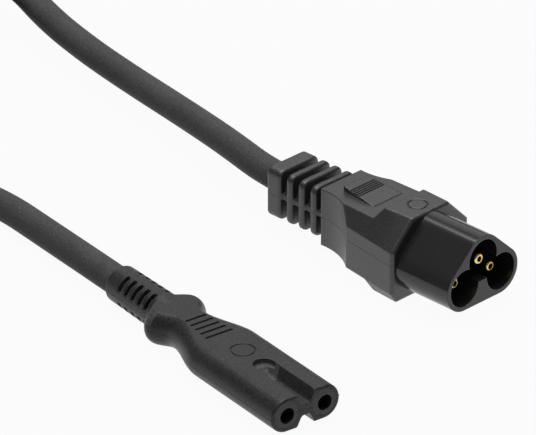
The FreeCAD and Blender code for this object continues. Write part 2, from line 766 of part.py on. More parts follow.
def build_coil():
    """The put-away coil as a ring of two by two turns with its two ends, and the tie around it."""
    outer = "coil_radius + 2 * cord_radius"
    inner = "coil_radius - 2 * cord_radius"
    height = "4 * cord_radius"
    x, y, base = "0 - coil_x", "coil_y", "tie_thickness"
    disc = post("coil_disc", outer, x, y, base, height)
    eye = post("coil_eye", inner, x, y, base, height)
    ring = cut("coil_ring", disc, eye)
    turns = fillet("coil_turns", ring, "coil_corner", lambda edge: edge.BoundBox.ZLength < TINY)
    stubs = []
    for end, sign, level in (("low", "-1", "1"), ("high", "1", "3")):
        stubs.append(rod("coil_end_" + end, "cord_radius", "0 - coil_x - coil_stub", "coil_stub",
                         "coil_y + %s * ( coil_radius + cord_radius )" % sign,
                         "tie_thickness + %s * cord_radius" % level))
    coil = node(fuse("coil", [turns] + stubs), "cord_coil")
    band = cut("tie_band",
               post("tie_disc", outer + " + tie_thickness", x, y, "0", height + " + 2 * tie_thickness"),
               post("tie_eye", inner + " - tie_thickness", x, y, "0", height + " + 2 * tie_thickness"))
    span = doc.addObject("Part::Box", "tie_span")
    bind(span, Length="2 * coil_radius", Width="tie_width", Height=height + " + 2 * tie_thickness")
    move(span, "coil_x - 2 * coil_radius", "coil_y - tie_width / 2", "0")
    arc = doc.addObject("Part::Common", "tie_arc")
    arc.Base, arc.Tool = band, span
    node(cut("tie", arc, coil), "coil_tie")


def build_cord():
    """The two free stretches of the cord, each from inside its strain relief to its end of the coil."""
    low, high = value("tie_thickness + cord_radius"), value("tie_thickness + 3 * cord_radius")
    reach = value("coil_radius + cord_radius")
    stub_x, coil_y = value("coil_x + coil_stub"), value("coil_y")
    rear = value(CONNECTOR_LENGTH)
    points = [
        in_frame(CONNECTOR, -rear + value("connector_jacket_in")),
        in_frame(CONNECTOR, -rear - CONNECTOR_EXIT_RUN),
    ]
    points += [V(*point) for point in CONNECTOR_ROUTE]
    points += [V(stub_x + COIL_APPROACH, coil_y - reach, low), V(stub_x, coil_y - reach, low)]
    connector_cord = node(tube("lead_connector", points, "cord_radius"), "connector_cord")
    rear = value(plug_rear())
    points = [
        in_frame(PLUG, -rear + value("plug_jacket_in")),
        in_frame(PLUG, -rear - PLUG_EXIT_RUN),
    ]
    points += [V(*point) for point in PLUG_ROUTE]
    points += [V(stub_x + COIL_APPROACH, coil_y + reach, high), V(stub_x, coil_y + reach, high)]
    return connector_cord, node(tube("lead_plug", points, "cord_radius"), "plug_cord")


def write_parts():
    """Checks every object and writes each sub-part to its own file."""
    doc.recompute()
    for obj in doc.Objects:
        if {"Invalid", "Error"} & set(obj.State):
            raise ValueError("%s failed: %s" % (obj.Name, obj.State))
    for obj in nodes:
        if obj.Shape.isNull() or not obj.Shape.isValid() or not obj.Shape.Solids:
            raise ValueError("%s has no valid solid" % obj.Label)
    os.makedirs("parts", exist_ok=True)
    for obj in nodes:
        obj.Shape.exportStep("parts/%s.step" % obj.Label)
        box = obj.Shape.BoundBox
        print("%-26s solids %d volume %9.2f  x %.2f..%.2f y %.2f..%.2f z %.2f..%.2f" % (
            obj.Label, len(obj.Shape.Solids), obj.Shape.Volume,
            box.XMin, box.XMax, box.YMin, box.YMax, box.ZMin, box.ZMax))


fill_sheet()
connector_side, plug_side = build_cord()
build_connector(connector_side)
build_plug(plug_side)
build_coil()
write_parts()
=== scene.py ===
"""Looks of the mains adapter lead: moulded connectors, pins, cord and the plain white studio around them."""
import logging
import math
from dataclasses import dataclass, field
from enum import Enum

import bmesh
import bpy
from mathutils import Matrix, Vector


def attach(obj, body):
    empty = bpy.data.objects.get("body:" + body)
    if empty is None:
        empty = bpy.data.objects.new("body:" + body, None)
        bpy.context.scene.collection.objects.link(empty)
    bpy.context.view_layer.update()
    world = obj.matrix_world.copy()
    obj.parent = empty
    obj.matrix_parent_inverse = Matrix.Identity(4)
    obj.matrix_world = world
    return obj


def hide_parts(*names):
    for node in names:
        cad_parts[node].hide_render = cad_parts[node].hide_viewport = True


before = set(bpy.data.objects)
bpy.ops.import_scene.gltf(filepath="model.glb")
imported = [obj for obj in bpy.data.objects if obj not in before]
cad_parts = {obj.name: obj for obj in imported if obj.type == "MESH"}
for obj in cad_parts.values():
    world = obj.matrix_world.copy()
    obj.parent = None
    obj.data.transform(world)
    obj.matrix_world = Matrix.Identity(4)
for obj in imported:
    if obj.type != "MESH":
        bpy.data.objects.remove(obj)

logging.basicConfig(level=logging.INFO, format="%(name)s: %(message)s")
LOG = logging.getLogger("adapter_lead")

MM = 0.001
Point = tuple[float, float, float]
Colour = tuple[float, float, float]
Span = tuple[float, float]

RISING: Span = (0.0, 1.0)
FALLING: Span = (1.0, 0.0)
WHITE: Colour = (1.0, 1.0, 1.0)

# Sockets of the Mix node that carry its share and its colours.
MIX_SHARE = 0
MIX_COLOURS = (6, 7)
MIX_RESULT = 2

# How often the patterns repeat in a metre, and which part of each one counts.
WAVES_PER_M = 420.0
CLOUDS_PER_M = 95.0
SPECKS_PER_M = 520.0
SPECK_GROUPS_PER_M = 260.0
DRIFTS_PER_M = 240.0
PIT_SPAN: Span = (0.3, 0.7)
CLOUD_SPAN: Span = (0.42, 0.72)
SPECK_SPAN: Span = (0.03, 0.09)
SPECK_GROUP_SPAN: Span = (0.62, 0.66)
# Which part of the patch texture takes the painted highlight.
HIGHLIGHT_PEAK_SPAN: Span = (0.38, 0.68)

# The mould's edges, with wear and a painted highlight, its parting line, and patches with a painted
# highlight.
EDGE_WEAR_AND_HIGHLIGHT_SPAN: Span = (0.99, 0.82)
PARTING_SPAN: Span = (0.3, 0.6)
PARTING_DRIFT: Span = (-0.00008, 0.00008)
PATCH_INNER_SHARE = 0.9
PATCH_LOW_HIGHLIGHT_SHARE = 0.25
BEVEL_SAMPLES = 8

# What the effects do to a moulding.
DUST_GREY: Colour = (0.30, 0.29, 0.27)
LINE_BLACK: Colour = (0.002, 0.002, 0.002)
# The patch grey is a painted highlight on the spark patches' peaks; the edge paleness is partly wear and
# partly a painted edge highlight.
PATCH_HIGHLIGHT_GREY: Colour = (0.22, 0.22, 0.22)
BLOOM_PALENESS = 0.3
EDGE_WEAR_AND_HIGHLIGHT = 0.9
BLOOM_ROUGHNESS = 0.08
EDGE_POLISH = 0.12
LINE_SHARE = 0.85
LINE_DEPTH = 0.00008


def opaque(colour: Colour) -> tuple[float, float, float, float]:
    """Adds full cover to a colour.

    Args:
        colour: Red, green and blue.

    Returns:
        The colour with its fourth value.
    """
    return (*colour, 1.0)


class Socket(Enum):
    """Kinds of socket on a shader node group."""

    VALUE = "NodeSocketFloat"
    VECTOR = "NodeSocketVector"


class Graph:
    """A node tree with short ways to add nodes, set their inputs and link them."""

    def __init__(self, tree: bpy.types.NodeTree) -> None:
        """Takes an existing tree and empties it.

        Args:
            tree: The node tree to fill.
        """
        self.tree = tree
        tree.nodes.clear()

    def add(self, kind: str, settings: dict[str, object] | None = None, **inputs: object) -> bpy.types.Node:
        """Adds a node.

        Args:
            kind: The node's type name, without its prefix.
            settings: Properties of the node itself.
            inputs: Input sockets by name with spaces as underscores, as numbers, colours or output sockets.

        Returns:
            The new node.
        """
        node = self.tree.nodes.new("ShaderNode" + kind)
        for name, value in (settings or {}).items():
            setattr(node, name, value)
        for name, value in inputs.items():
            self.feed(node.inputs[name.replace("_", " ")], value)
        return node

    def feed(self, socket: bpy.types.NodeSocket, value: object) -> None:
        """Links an output to an input, or sets the input's own value.

        Args:
            socket: The input to feed.
            value: An output socket, or a plain value.
        """
        if isinstance(value, bpy.types.NodeSocket):
            self.tree.links.new(value, socket)
        else:
            socket.default_value = value

    def math(self, operation: str, *terms: object) -> bpy.types.NodeSocket:
        """Works out one arithmetic step.

        Args:
            operation: The name of the operation.
            terms: Its terms, as numbers or output sockets.

        Returns:
            The result's socket.
        """
        node = self.add("Math", {"operation": operation})
        for socket, term in zip(node.inputs, terms):
            self.feed(socket, term)
        return node.outputs[0]

    def blend(self, share: object, first: object, second: object) -> bpy.types.NodeSocket:
        """Mixes two colours.

        Args:
            share: How much of the second colour shows.
            first: The first colour.
            second: The second colour.

        Returns:
            The mixed colour's socket.
        """
        node = self.add("Mix", {"data_type": "RGBA"})
        self.feed(node.inputs[MIX_SHARE], share)
        for index, colour in zip(MIX_COLOURS, (first, second)):
            self.feed(node.inputs[index], colour)
        return node.outputs[MIX_RESULT]

    def spread(self, value: object, span: tuple[object, object],
               onto: tuple[object, object] = RISING) -> bpy.types.NodeSocket:
        """Maps a range of values onto another, and clamps.

        Args:
            value: The value to map.
            span: Where the range starts and ends, as numbers or output sockets.
            onto: What the start and the end become, as numbers or output sockets.

        Returns:
            The mapped value's socket.
        """
        node = self.add("MapRange")
        for socket, term in zip(node.inputs, (value, *span, *onto)):
            self.feed(socket, term)
        return node.outputs[0]


@dataclass(frozen=True)
class Effect:
    """A surface effect that several finishes share, as a shader node group."""

    name: str
    inputs: dict[str, float]
    outputs: dict[str, Socket]

    def start(self) -> tuple[bpy.types.NodeTree, Graph, bpy.types.Node, bpy.types.Node]:
        """Makes the group with its sockets.

        Returns:
            The group, its graph, its input node and its output node.
        """
        group = bpy.data.node_groups.new(self.name, "ShaderNodeTree")
        for name, value in self.inputs.items():
            socket = group.interface.new_socket(name, in_out="INPUT", socket_type=Socket.VALUE.value)
            socket.default_value = value
        for name, kind in self.outputs.items():
            group.interface.new_socket(name, in_out="OUTPUT", socket_type=kind.value)
        graph = Graph(group)
        return group, graph, group.nodes.new("NodeGroupInput"), group.nodes.new("NodeGroupOutput")


class Effects:
    """The effects shared by the finishes, each built once."""

    def __init__(self) -> None:
        """Builds every effect."""
        self.grain = self._grain()
        self.soil = self._soil()
        self.edges = self._edges()
        self.parting = self._parting()
        self.patch = self._patch()

    @staticmethod
    def _grain() -> bpy.types.NodeTree:
        """Fine spark-eroded grain of a mould, with shallow waves under it.

        Returns:
            The group, whose Height is in metres and whose Tone runs from 0 to 1.
        """
        effect = Effect(
            "mould_grain",
            {"Size": 0.00018, "Depth": 0.00002, "Waves": 0.00001},
            {"Height": Socket.VALUE, "Tone": Socket.VALUE},
        )
        group, graph, given, out = effect.start()
        place = graph.add("TexCoord").outputs["Object"]
        rate = graph.math("DIVIDE", 1.0, given.outputs["Size"])
        pits = graph.add("TexNoise", Vector=place, Scale=rate, Detail=3.0, Roughness=0.6).outputs[0]
        waves = graph.add("TexNoise", Vector=place, Scale=WAVES_PER_M, Detail=2.0, Roughness=0.5).outputs[0]
        fine = graph.math("MULTIPLY", pits, given.outputs["Depth"])
        broad = graph.math("MULTIPLY", waves, given.outputs["Waves"])
        graph.feed(out.inputs["Height"], graph.math("ADD", fine, broad))
        graph.feed(out.inputs["Tone"], graph.spread(pits, PIT_SPAN))
        return group

    @staticmethod
    def _soil() -> bpy.types.NodeTree:
        """Handling bloom in soft patches and a few dust specks.

        Returns:
            The group, with masks for the bloom and for the specks.
        """
        effect = Effect(
            "handling",
            {"Bloom": 1.0, "Dust": 1.0},
            {"Patches": Socket.VALUE, "Specks": Socket.VALUE},
        )
        group, graph, given, out = effect.start()
        place = graph.add("TexCoord").outputs["Object"]
        cloud = graph.add("TexNoise", Vector=place, Scale=CLOUDS_PER_M, Detail=4.0, Roughness=0.62)
        patches = graph.spread(cloud.outputs[0], CLOUD_SPAN)
        cells = graph.add("TexVoronoi", Vector=place, Scale=SPECKS_PER_M, Randomness=1.0)
        dots = graph.spread(cells.outputs["Distance"], SPECK_SPAN, FALLING)
        chance = graph.add("TexNoise", Vector=place, Scale=SPECK_GROUPS_PER_M, Detail=1.0)
        dots = graph.math("MULTIPLY", dots, graph.spread(chance.outputs[0], SPECK_GROUP_SPAN))
        graph.feed(out.inputs["Patches"], graph.math("MULTIPLY", patches, given.outputs["Bloom"]))
        graph.feed(out.inputs["Specks"], graph.math("MULTIPLY", dots, given.outputs["Dust"]))
        return group

    @staticmethod
    def _edges() -> bpy.types.NodeTree:
        """Soft moulded edges: a rounded normal and a mask of where it turns.

        Returns:
            The group, with the rounded normal and a mask of the edges, used for wear and for a painted edge
            highlight.
        """
        effect = Effect("soft_edges", {"Round": 0.0003}, {"Normal": Socket.VECTOR, "WearAndHighlight": Socket.VALUE})
        group, graph, given, out = effect.start()
        rounded = graph.add("Bevel", {"samples": BEVEL_SAMPLES}, Radius=given.outputs["Round"]).outputs[0]
        flat = graph.add("NewGeometry").outputs["Normal"]
        turn = graph.add("VectorMath", {"operation": "DOT_PRODUCT"})
        graph.feed(turn.inputs[0], rounded)
        graph.feed(turn.inputs[1], flat)
        graph.feed(out.inputs["Normal"], rounded)
        # The mask lightens the edges as wear and as a painted edge highlight.
        graph.feed(out.inputs["WearAndHighlight"], graph.spread(turn.outputs["Value"], EDGE_WEAR_AND_HIGHLIGHT_SPAN))
        return group

    @staticmethod
    def _parting() -> bpy.types.NodeTree:
        """The fine line where the two halves of a mould met, at one level.

        Returns:
            The group, with the mask of the line.
        """
        effect = Effect("parting_line", {"Level": 0.0, "Width": 0.0002}, {"Line": Socket.VALUE})
        group, graph, given, out = effect.start()
        place = graph.add("TexCoord").outputs["Object"]
        level = graph.add("SeparateXYZ", Vector=place).outputs["Z"]
        drift = graph.add("TexNoise", Vector=place, Scale=DRIFTS_PER_M, Detail=2.0).outputs[0]
        drift = graph.spread(drift, RISING, PARTING_DRIFT)
        away = graph.math("SUBTRACT", graph.math("ADD", level, drift), given.outputs["Level"])
        share = graph.math("DIVIDE", graph.math("ABSOLUTE", away), given.outputs["Width"])
        graph.feed(out.inputs["Line"], graph.spread(share, PARTING_SPAN, FALLING))
        return group

    @staticmethod
    def _patch() -> bpy.types.NodeTree:
        """A round patch of coarse spark-eroded texture with a painted highlight on its peaks, between two
        levels.

        Returns:
            The group, with the height in metres and the painted highlight on the peaks, both zero outside the
            patch.
        """
        effect = Effect(
            "spark_patch_with_highlight",
            {"Along": 0.0, "Across": 0.0, "Reach": 0.002, "Above": 0.005, "Below": 0.007,
             "Size": 0.0003, "Depth": 0.00012, "Pale": 0.5},
            {"Height": Socket.VALUE, "Paleness": Socket.VALUE},
        )
        group, graph, given, out = effect.start()
        reach, paleness_with_highlight = given.outputs["Reach"], given.outputs["Pale"]
        place = graph.add("TexCoord").outputs["Object"]
        parts = graph.add("SeparateXYZ", Vector=place).outputs
        along = graph.math("POWER", graph.math("SUBTRACT", parts["X"], given.outputs["Along"]), 2.0)
        across = graph.math("POWER", graph.math("SUBTRACT", parts["Y"], given.outputs["Across"]), 2.0)
        away = graph.math("SQRT", graph.math("ADD", along, across))
        mask = graph.spread(away, (graph.math("MULTIPLY", reach, PATCH_INNER_SHARE), reach), FALLING)
        mask = graph.math("MULTIPLY", mask, graph.math("LESS_THAN", parts["Z"], given.outputs["Below"]))
        mask = graph.math("MULTIPLY", mask, graph.math("GREATER_THAN", parts["Z"], given.outputs["Above"]))
        rate = graph.math("DIVIDE", 1.0, given.outputs["Size"])
        pits = graph.add("TexNoise", Vector=place, Scale=rate, Detail=2.0, Roughness=0.7).outputs[0]
        height = graph.math("MULTIPLY", pits, given.outputs["Depth"])
        # Painted highlight: the patch's peaks are lightened as if they caught the light.
        peaks = graph.spread(pits, HIGHLIGHT_PEAK_SPAN, (graph.math("MULTIPLY", paleness_with_highlight, PATCH_LOW_HIGHLIGHT_SHARE), paleness_with_highlight))
        graph.feed(out.inputs["Height"], graph.math("MULTIPLY", height, mask))
        graph.feed(out.inputs["Paleness"], graph.math("MULTIPLY", peaks, mask))
        return group


@dataclass(frozen=True)
class SparkPatch:
    """A round patch of a moulding with coarse spark-eroded texture and a painted highlight on its peaks, in
    metres.
    """

    along: float
    across: float
    reach: float
    above: float
    below: float
    size: float = 0.0003
    depth: float = 0.00012
    # How far the peaks are lightened, as a painted highlight.
    paleness_with_highlight: float = 0.5

    def relief_and_highlight(self, graph: Graph, effects: Effects) -> bpy.types.Node:
        """Adds the patch's texture and its painted highlight to a material.

        Args:
            graph: The material's graph.
            effects: The shared effects.

        Returns:
            The group's node, with the height and the painted highlight on its peaks.
        """
        return graph.add("Group", {"node_tree": effects.patch}, Along=self.along, Across=self.across,
                         Reach=self.reach, Above=self.above, Below=self.below, Size=self.size,
                         Depth=self.depth, Pale=self.paleness_with_highlight)


@dataclass(frozen=True)
class MouldedFinish:
    """Black or coloured moulded plastic with grain, soft edges that carry wear and a painted highlight, a
    little handling, and any patches, which carry a painted highlight.
    """

    name: str
    colour: Colour
    # The paler colour, for the grain's mottle, the bloom, the edge wear and the painted edge highlight.
    pale_and_highlight_colour: Colour
    roughness: float
    grain_size: float
    grain_depth: float
    waves: float = 0.00001
    edge_round: float = 0.0003
    bloom: float = 0.5
    dust: float = 0.5
    specular: float = 0.5
    mottle: float = 0.5
    parting_level: float | None = None
    patches: tuple[SparkPatch, ...] = ()

    def material(self, effects: Effects) -> bpy.types.Material:
        """Builds the material.

        Args:
            effects: The shared effects.

        Returns:
            The new material.
        """
        material = bpy.data.materials.new(self.name)
        material.use_nodes = True
        graph = Graph(material.node_tree)
        grain = graph.add("Group", {"node_tree": effects.grain}, Size=self.grain_size, Depth=self.grain_depth,
                          Waves=self.waves)
        soil = graph.add("Group", {"node_tree": effects.soil}, Bloom=self.bloom, Dust=self.dust)
        edges = graph.add("Group", {"node_tree": effects.edges}, Round=self.edge_round)
        bloom, wear_and_highlight = soil.outputs["Patches"], edges.outputs["WearAndHighlight"]
        paleness_with_highlight = graph.math("MULTIPLY", grain.outputs["Tone"], self.mottle)
        paleness_with_highlight = graph.math("ADD", paleness_with_highlight, graph.math("MULTIPLY", bloom, BLOOM_PALENESS))
        # Painted edge highlight, partly wear: the edges are lightened towards the paler colour.
        paleness_with_highlight = graph.math("ADD", paleness_with_highlight, graph.math("MULTIPLY", wear_and_highlight, EDGE_WEAR_AND_HIGHLIGHT))
        colour = graph.blend(paleness_with_highlight, opaque(self.colour), opaque(self.pale_and_highlight_colour))
        colour = graph.blend(soil.outputs["Specks"], colour, opaque(DUST_GREY))
        height = grain.outputs["Height"]
        if self.parting_level is not None:
            parting = graph.add("Group", {"node_tree": effects.parting}, Level=self.parting_level)
            line = parting.outputs["Line"]
            colour = graph.blend(graph.math("MULTIPLY", line, LINE_SHARE), colour, opaque(LINE_BLACK))
            height = graph.math("SUBTRACT", height, graph.math("MULTIPLY", line, LINE_DEPTH))
        for patch in self.patches:
            relief_and_highlight = patch.relief_and_highlight(graph, effects)
            height = graph.math("ADD", height, relief_and_highlight.outputs["Height"])
            # Painted highlight: the patches' peaks are lightened towards a light grey.
            colour = graph.blend(relief_and_highlight.outputs["Paleness"], colour, opaque(PATCH_HIGHLIGHT_GREY))
        rough = graph.math("ADD", self.roughness, graph.math("MULTIPLY", bloom, BLOOM_ROUGHNESS))
        rough = graph.math("SUBTRACT", rough, graph.math("MULTIPLY", wear_and_highlight, EDGE_POLISH))
        bump = graph.add("Bump", Strength=1.0, Distance=1.0, Height=height, Normal=edges.outputs["Normal"])
        shader = graph.add("BsdfPrincipled", Base_Color=colour, Roughness=rough, Normal=bump.outputs[0],
                           Specular_IOR_Level=self.specular)
        graph.add("OutputMaterial", Surface=shader.outputs[0])
        return material


@dataclass(frozen=True)
class MetalFinish:
    """Drawn or turned metal with fine lines, tarnish and soft edges."""

    name: str
    colour: Colour
    tarnish: Colour
    roughness: float
    tarnish_share: float = 0.6
    tarnish_roughness: float = 0.12
    edge_round: float = 0.00012
    lines_per_m: float = 9000.0
    line_depth: float = 0.000004
    line_strength: float = 0.25

    def material(self, effects: Effects) -> bpy.types.Material:
        """Builds the material.

        Args:
            effects: The shared effects.

        Returns:
            The new material.
        """
        material = bpy.data.materials.new(self.name)
        material.use_nodes = True
        graph = Graph(material.node_tree)
        soil = graph.add("Group", {"node_tree": effects.soil}, Bloom=1.0, Dust=0.0)
        edges = graph.add("Group", {"node_tree": effects.edges}, Round=self.edge_round)
        place = graph.add("TexCoord").outputs["Object"]
        turned = graph.add("TexWave", {"bands_direction": "X"}, Vector=place, Scale=self.lines_per_m,
                           Distortion=1.5, Detail=2.0)
        dulled = soil.outputs["Patches"]
        colour = graph.blend(graph.math("MULTIPLY", dulled, self.tarnish_share), opaque(self.colour),
                             opaque(self.tarnish))
        rough = graph.math("ADD", self.roughness, graph.math("MULTIPLY", dulled, self.tarnish_roughness))
        bump = graph.add("Bump", Strength=self.line_strength, Distance=self.line_depth,
                         Height=turned.outputs["Fac"], Normal=edges.outputs["Normal"])
        shader = graph.add("BsdfPrincipled", Base_Color=colour, Metallic=1.0, Roughness=rough,
                           Normal=bump.outputs[0])
        graph.add("OutputMaterial", Surface=shader.outputs[0])
        return material


# Each patch's lightening is a painted highlight on its textured peaks; at the keyway end it lightens a floor
# that lies in shade.
KEYWAY_END = SparkPatch(along=0.0165, across=0.0, reach=0.0032, above=0.0044, below=0.0073, size=0.00024,
                        paleness_with_highlight=0.6)
RIGHT_EAR = SparkPatch(along=-0.0130, across=-0.0056, reach=0.0021, above=0.0052, below=0.0074)
LEFT_EAR = SparkPatch(along=-0.0130, across=0.0056, reach=0.0021, above=0.0052, below=0.0074)

SOFT_MOULDING = MouldedFinish(
    "soft_moulding", (0.009, 0.009, 0.0093), (0.064, 0.064, 0.065), roughness=0.38,
    grain_size=0.00042, grain_depth=0.000070, edge_round=0.0004, bloom=0.45, specular=0.34, mottle=0.55,
    parting_level=0.0040, patches=(KEYWAY_END, RIGHT_EAR, LEFT_EAR))
RIBBED_MOULDING = MouldedFinish(
    "ribbed_moulding", (0.010, 0.010, 0.0103), (0.050, 0.050, 0.051), roughness=0.40,
    grain_size=0.00042, grain_depth=0.000060, edge_round=0.0005, bloom=0.35, specular=0.9, mottle=0.55,
    parting_level=0.0084)
CORD_JACKET = MouldedFinish(
    "cord_jacket", (0.048, 0.048, 0.049), (0.140, 0.140, 0.142), roughness=0.50,
    grain_size=0.00036, grain_depth=0.000035, waves=0.00004, bloom=0.6, specular=0.08)
HARD_SHROUD = MouldedFinish(
    "hard_shroud", (0.019, 0.019, 0.0194), (0.042, 0.042, 0.043), roughness=0.19,
    grain_size=0.0003, grain_depth=0.000002, waves=0.000004, edge_round=0.00018, bloom=0.3, dust=0.6,
    mottle=0.2)
CARRIER = MouldedFinish(
    "contact_carrier", (0.012, 0.012, 0.0125), (0.032, 0.032, 0.033), roughness=0.42,
    grain_size=0.0002, grain_depth=0.00001, edge_round=0.0002)
TIE_BAND = MouldedFinish(
    "tie_band", (0.016, 0.016, 0.016), (0.05, 0.05, 0.05), roughness=0.6,
    grain_size=0.0004, grain_depth=0.00005)
BROWN_CORE = MouldedFinish(
    "brown_core", (0.11, 0.045, 0.018), (0.18, 0.08, 0.035), roughness=0.45,
    grain_size=0.0003, grain_depth=0.000008)
BLUE_CORE = MouldedFinish(
    "blue_core", (0.02, 0.07, 0.30), (0.05, 0.13, 0.40), roughness=0.45,
    grain_size=0.0003, grain_depth=0.000008)
PIN_BRASS = MetalFinish("pin_brass", (0.80, 0.66, 0.25), (0.52, 0.42, 0.13), roughness=0.2)
CONTACT_BRASS = MetalFinish("contact_brass", (0.66, 0.52, 0.28), (0.40, 0.30, 0.15), roughness=0.32)
COPPER = MetalFinish("strand_copper", (0.78, 0.40, 0.24), (0.45, 0.2, 0.1), roughness=0.3)


class Wardrobe:
    """Materials by finish, each made the first time that a piece asks for it."""

    def __init__(self) -> None:
        """Starts with the shared effects and no materials."""
        self.effects = Effects()
        self.made: dict[str, bpy.types.Material] = {}

    def dress(self, obj: bpy.types.Object, finish: MouldedFinish | MetalFinish) -> None:
        """Gives a piece its finish.

        Args:
            obj: The piece.
            finish: Its finish.
        """
        if finish.name not in self.made:
            self.made[finish.name] = finish.material(self.effects)
        obj.data.materials.clear()
        obj.data.materials.append(self.made[finish.name])
        LOG.info("%s wears %s", obj.name, finish.name)


def in_metres(points: list[Point]) -> list[Vector]:
    """Turns points in millimetres into vectors in metres.

    Args:
        points: The points.

    Returns:
        The same points in metres.
    """
    return [Vector(point) * MM for point in points]


@dataclass
class Coil:
    """The put-away turns of the cord, two beside each other in each of two layers, in millimetres."""

    centre: tuple[float, float] = (-166.0, 15.0)
    mean_radius: float = 33.5
    cord_radius: float = 3.0
    lift: float = 0.7
    turns: float = 3.5
    steps_per_turn: int = 24
    shift: float = 0.15

    def places(self) -> list[tuple[float, float]]:
        """Finds the rings of the coil.

        Returns:
            Radius and height of each ring, in the order that the cord fills them.
        """
        near, far = self.mean_radius - self.cord_radius, self.mean_radius + self.cord_radius
        low, high = self.lift + self.cord_radius, self.lift + 3 * self.cord_radius
        return [(far, low), (near, low), (near, high), (far, high)]

    def points(self) -> list[Point]:
        """Follows the turns clockwise from the near side to the far side.

        Returns:
            The points in millimetres.
        """
        places = self.places()
        share = self.turns / len(places)
        found = []
        count = round(self.turns * self.steps_per_turn)
        for i in range(count + 1):
            done = i / self.steps_per_turn
            ring = min(int(done / share), len(places) - 1)
            ahead = min(ring + 1, len(places) - 1)
            ease = max(0.0, (done - (ring + 1) * share + self.shift) / self.shift)
            ease = ease * ease * (3 - 2 * ease)
            radius = places[ring][0] * (1 - ease) + places[ahead][0] * ease
            height = places[ring][1] * (1 - ease) + places[ahead][1] * ease
            angle = -math.pi / 2 - 2 * math.pi * done
            x = self.centre[0] + radius * math.cos(angle)
            y = self.centre[1] + radius * math.sin(angle)
            found.append((x, y, height))
        return found


@dataclass
class Cord:
    """The round cord from one connector to the other, with its coil on the way, in millimetres."""

    radius: float = 3.0
    length: float = 1000.0
    bevel_resolution: int = 10
    curve_resolution: int = 8
    coil: Coil = field(default_factory=Coil)
    leaving_connector: list[Point] = field(default_factory=lambda: [
        (-15.0, 0.0, 4.0), (-34.0, 0.0, 4.0), (-54.0, 0.6, 3.3), (-74.0, 0.7, 3.1), (-91.0, -5.0, 3.1),
        (-108.0, -14.5, 3.2), (-128.0, -21.5, 3.7), (-143.0, -21.5, 3.7)])
    reaching_plug: list[Point] = field(default_factory=lambda: [
        (-143.0, 51.5, 9.7), (-128.0, 49.9, 7.3), (-113.0, 49.9, 5.8), (-97.0, 49.8, 5.5),
        (-79.0, 48.9, 6.3), (-60.0, 47.0, 7.7), (-42.45, 44.88, 8.4), (-29.11, 46.99, 8.4)])
    exit: Point = (-30.0, 0.0, 4.0)
    stands_for: tuple[str, ...] = ("connector_cord", "cord_coil", "plug_cord")
    carries: tuple[str, ...] = (
        "plug_overmould", "plug_shroud", "plug_line_pin", "plug_neutral_pin", "plug_earth_pin",
        "plug_line_core", "plug_neutral_core", "plug_line_strands", "plug_neutral_strands")

    def build(self, wardrobe: Wardrobe, tie: bpy.types.Object) -> bpy.types.Object:
        """Makes the cord as one smooth round curve.

        Args:
            wardrobe: Where the finish comes from.
            tie: The band around the coil; not used.

        Returns:
            The cord.
        """
        curve = bpy.data.curves.new("cord", "CURVE")
        curve.dimensions = "3D"
        curve.bevel_depth = self.radius * MM
        curve.bevel_resolution = self.bevel_resolution
        curve.resolution_u = self.curve_resolution
        curve.use_fill_caps = True
        points = in_metres(self.leaving_connector + self.coil.points() + self.reaching_plug)
        spline = curve.splines.new("NURBS")
        spline.points.add(len(points) - 1)
        for place, point in zip(spline.points, points):
            place.co = (*point, 1.0)
        spline.order_u = 3
        spline.use_endpoint_u = True
        cord = bpy.data.objects.new("cord", curve)
        bpy.context.scene.collection.objects.link(cord)
        wardrobe.dress(cord, CORD_JACKET)
        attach(cord, "root")
        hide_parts(*self.stands_for)
        return cord


@dataclass
class FigureEightConnector:
    """The figure-eight connector, dressed on its solids, with a fin of flash left at its parting line."""

    flash_root: tuple[Point, Point] = ((28.3, 7.65, 4.0), (29.75, 7.55, 4.0))
    flash_tip: Point = (29.35, 8.25, 4.0)
    flash_thickness: float = 0.24
    finishes: dict[str, MouldedFinish | MetalFinish] = field(default_factory=lambda: {
        "connector_overmould": SOFT_MOULDING,
        "connector_carrier": CARRIER,
        "connector_line_contact": CONTACT_BRASS,
        "connector_neutral_contact": CONTACT_BRASS,
        "connector_line_core": BROWN_CORE,
        "connector_neutral_core": BLUE_CORE,
        "connector_line_strands": COPPER,
        "connector_neutral_strands": COPPER,
    })

    def build(self, wardrobe: Wardrobe) -> None:
        """Dresses each solid and adds the flash.

        Args:
            wardrobe: Where the finishes come from.
        """
        for name, finish in self.finishes.items():
            wardrobe.dress(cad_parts[name], finish)
        wardrobe.dress(self._flash(), SOFT_MOULDING)

    def _flash(self) -> bpy.types.Object:
        """Makes the thin fin of flash, with its root sunk in the moulding.

        Returns:
            The fin.
        """
        shape = bmesh.new()
        half = Vector((0.0, 0.0, self.flash_thickness / 2 * MM))
        start, end, tip = in_metres([*self.flash_root, self.flash_tip])
        rim = [shape.verts.new(point) for point in (start - half, end - half, end + half, start + half)]
        peak = shape.verts.new(tip)
        shape.faces.new(rim)
        for i, corner in enumerate(rim):
            shape.faces.new((corner, rim[i - 1], peak))
        bmesh.ops.recalc_face_normals(shape, faces=shape.faces)
        mesh = bpy.data.meshes.new("mould_flash")
        shape.to_mesh(mesh)
        shape.free()
        flash = bpy.data.objects.new("mould_flash", mesh)
        bpy.context.scene.collection.objects.link(flash)
        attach(flash, "root")
        return flash


